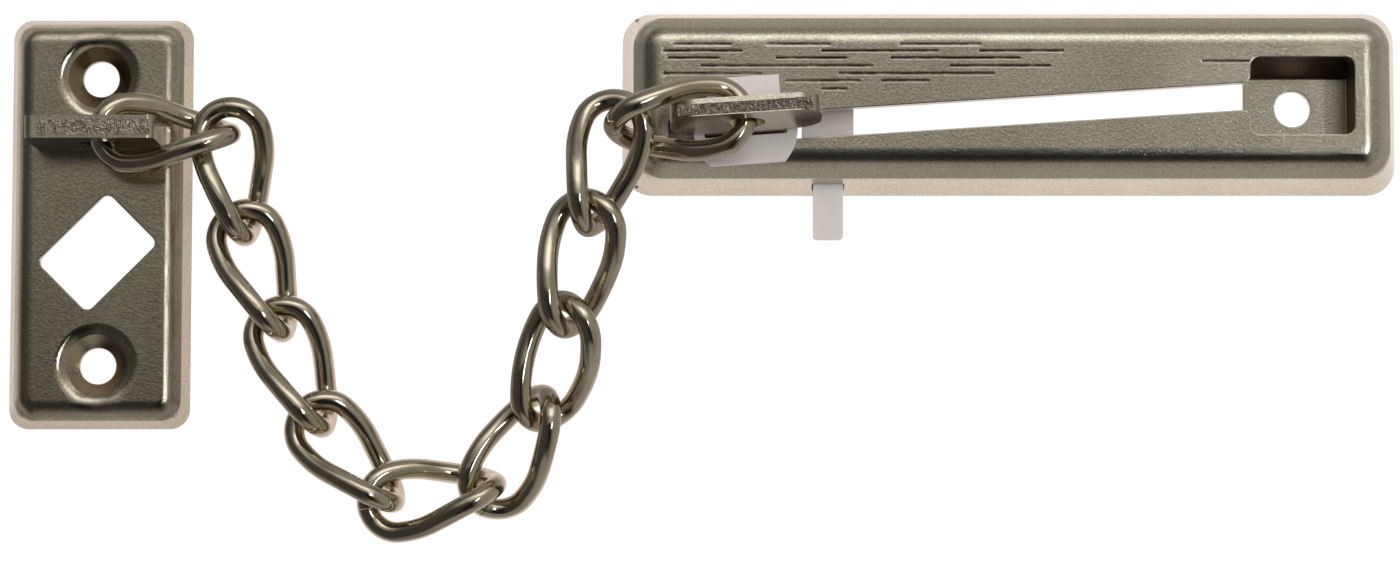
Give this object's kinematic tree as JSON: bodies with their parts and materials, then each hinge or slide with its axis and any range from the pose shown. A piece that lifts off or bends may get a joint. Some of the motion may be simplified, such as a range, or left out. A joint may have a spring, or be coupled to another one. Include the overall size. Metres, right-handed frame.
{
  "type": "door chain",
  "caption": "Door chain: drafted track housing with a slanted slot and entry pocket, sliding key plate, twisted-link chain and a screw-on anchor plate with a lug.",
  "frame": {"origin": "middle of the two track screw holes, on the back plane that meets the door", "axes": "+X along the track towards the entry pocket, +Y across it away from the latch tab, +Z out of the door"},
  "size_m": [0.2148, 0.0825, 0.0246],
  "materials": {
    "satin_nickel": "satin nickel plate",
    "bright_nickel": "bright nickel plate",
    "white_plastic": "white moulded plastic"
  },
  "bodies": {
    "track": {"track_housing": "satin_nickel"},
    "latch": {"latch_slide": "white_plastic"},
    "slider": {"slider_plate": "satin_nickel", "slider_foot": "satin_nickel", "glide_washer": "white_plastic"},
    "link_11": {"link_11": "bright_nickel"},
    "link_10": {"link_10": "bright_nickel"},
    "link_09": {"link_09": "bright_nickel"},
    "link_08": {"link_08": "bright_nickel"},
    "link_07": {"link_07": "bright_nickel"},
    "link_06": {"link_06": "bright_nickel"},
    "link_05": {"link_05": "bright_nickel"},
    "link_04": {"link_04": "bright_nickel"},
    "link_03": {"link_03": "bright_nickel"},
    "link_02": {"link_02": "bright_nickel"},
    "link_01": {"link_01": "bright_nickel"},
    "anchor": {"anchor_plate": "satin_nickel", "anchor_lug": "satin_nickel"}
  },
  "joints": [
    {"name": "latch_push", "type": "slide", "parent": "track", "child": "latch", "axis": [0, 1, 0], "range_m": [0, 0.005]},
    {"name": "slider_travel", "type": "slide", "parent": "track", "child": "slider", "axis": [0.9979, 0.0645, 0], "range_m": [-0.005, 0.05]},
    {"name": "key_swing", "type": "hinge", "parent": "slider", "child": "link_11", "pos_m": [-0.04108, -0.0008, 0.01832], "axis": [-0.0639, 0.9882, -0.1392], "range_deg": [0, 90]},
    {"name": "link_10_turn", "type": "hinge", "parent": "link_11", "child": "link_10", "pos_m": [-0.061, -0.00254, 0.01832], "axis": [0, 0, 1], "range_deg": [-40, 3]},
    {"name": "link_09_turn", "type": "hinge", "parent": "link_10", "child": "link_09", "pos_m": [-0.06511, -0.01788, 0.01915], "axis": [0, 0, -1], "range_deg": [-5, 40]},
    {"name": "link_08_turn", "type": "hinge", "parent": "link_09", "child": "link_08", "pos_m": [-0.06834, -0.03309, 0.01584], "axis": [0, 0, 1], "range_deg": [-35, 12]},
    {"name": "link_07_turn", "type": "hinge", "parent": "link_08", "child": "link_07", "pos_m": [-0.07109, -0.04334, 0.01067], "axis": [0, 0, -1], "range_deg": [-25, 15]},
    {"name": "link_06_turn", "type": "hinge", "parent": "link_07", "child": "link_06", "pos_m": [-0.07915, -0.05623, 0.00602], "axis": [0, 0, 1], "range_deg": [-30, 35]},
    {"name": "link_05_turn", "type": "hinge", "parent": "link_06", "child": "link_05", "pos_m": [-0.0948, -0.05899, 0.00588], "axis": [0, 0, 1], "range_deg": [-15, 40]},
    {"name": "link_04_turn", "type": "hinge", "parent": "link_05", "child": "link_04", "pos_m": [-0.10585, -0.04755, 0.00588], "axis": [0, 0, -1], "range_deg": [-40, 35]},
    {"name": "link_03_turn", "type": "hinge", "parent": "link_04", "child": "link_03", "pos_m": [-0.11206, -0.03292, 0.00588], "axis": [0, 0, 1], "range_deg": [-40, 40]},
    {"name": "link_02_turn", "type": "hinge", "parent": "link_03", "child": "link_02", "pos_m": [-0.11776, -0.01808, 0.00644], "axis": [0, 0, -1], "range_deg": [-10, 20]},
    {"name": "link_01_turn", "type": "hinge", "parent": "link_02", "child": "link_01", "pos_m": [-0.11992, -0.00268, 0.00974], "axis": [0, 0, -1], "range_deg": [-6, 40]},
    {"name": "anchor_swing", "type": "hinge", "parent": "link_01", "child": "anchor", "pos_m": [-0.13981, -0.00268, 0.01183], "axis": [0, 1, 0], "range_deg": [0, 90]}
  ]
}
